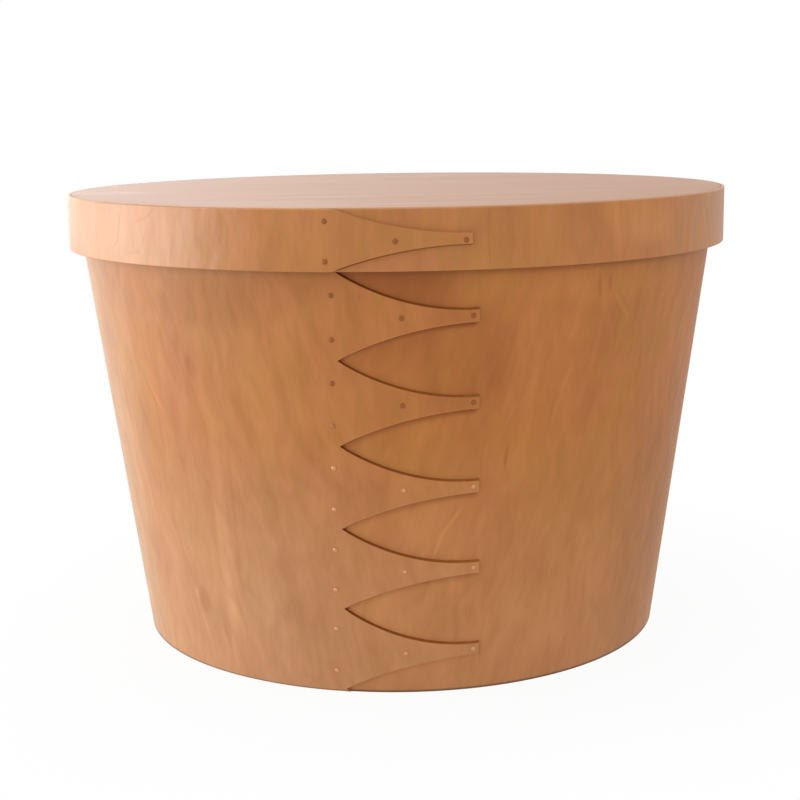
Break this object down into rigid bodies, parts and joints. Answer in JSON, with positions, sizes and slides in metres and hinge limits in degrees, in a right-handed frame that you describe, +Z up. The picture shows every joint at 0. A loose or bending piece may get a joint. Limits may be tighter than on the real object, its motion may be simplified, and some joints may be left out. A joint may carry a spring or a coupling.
{
  "type": "storage box",
  "caption": "Round bentwood storage box that narrows to its foot, with an overlapping lift-off lid and laps cut into tacked swallowtail fingers.",
  "frame": {"origin": "middle of the foot, on the surface the box stands on", "axes": "+Z up through the lid, -Y towards the lap with the fingers, +X to the right seen from the lap"},
  "size_m": [0.4013, 0.4026, 0.27],
  "materials": {
    "bent_wood": "satin",
    "lid_wood": "satin",
    "base_wood": "matte",
    "tack_copper": "satin"
  },
  "bodies": {
    "box": {"body_band": "bent_wood", "base_board": "base_wood", "body_root_tacks": "tack_copper", "body_mid_tacks": "tack_copper", "body_tip_tacks": "tack_copper"},
    "lid": {"lid_band": "bent_wood", "lid_board": "lid_wood", "lid_root_tacks": "tack_copper", "lid_mid_tack": "tack_copper", "lid_tip_tack": "tack_copper"}
  },
  "joints": [
    {"name": "lid_lift", "type": "slide", "parent": "box", "child": "lid", "axis": [0, 0, 1], "range_m": [0, 0.2]}
  ]
}
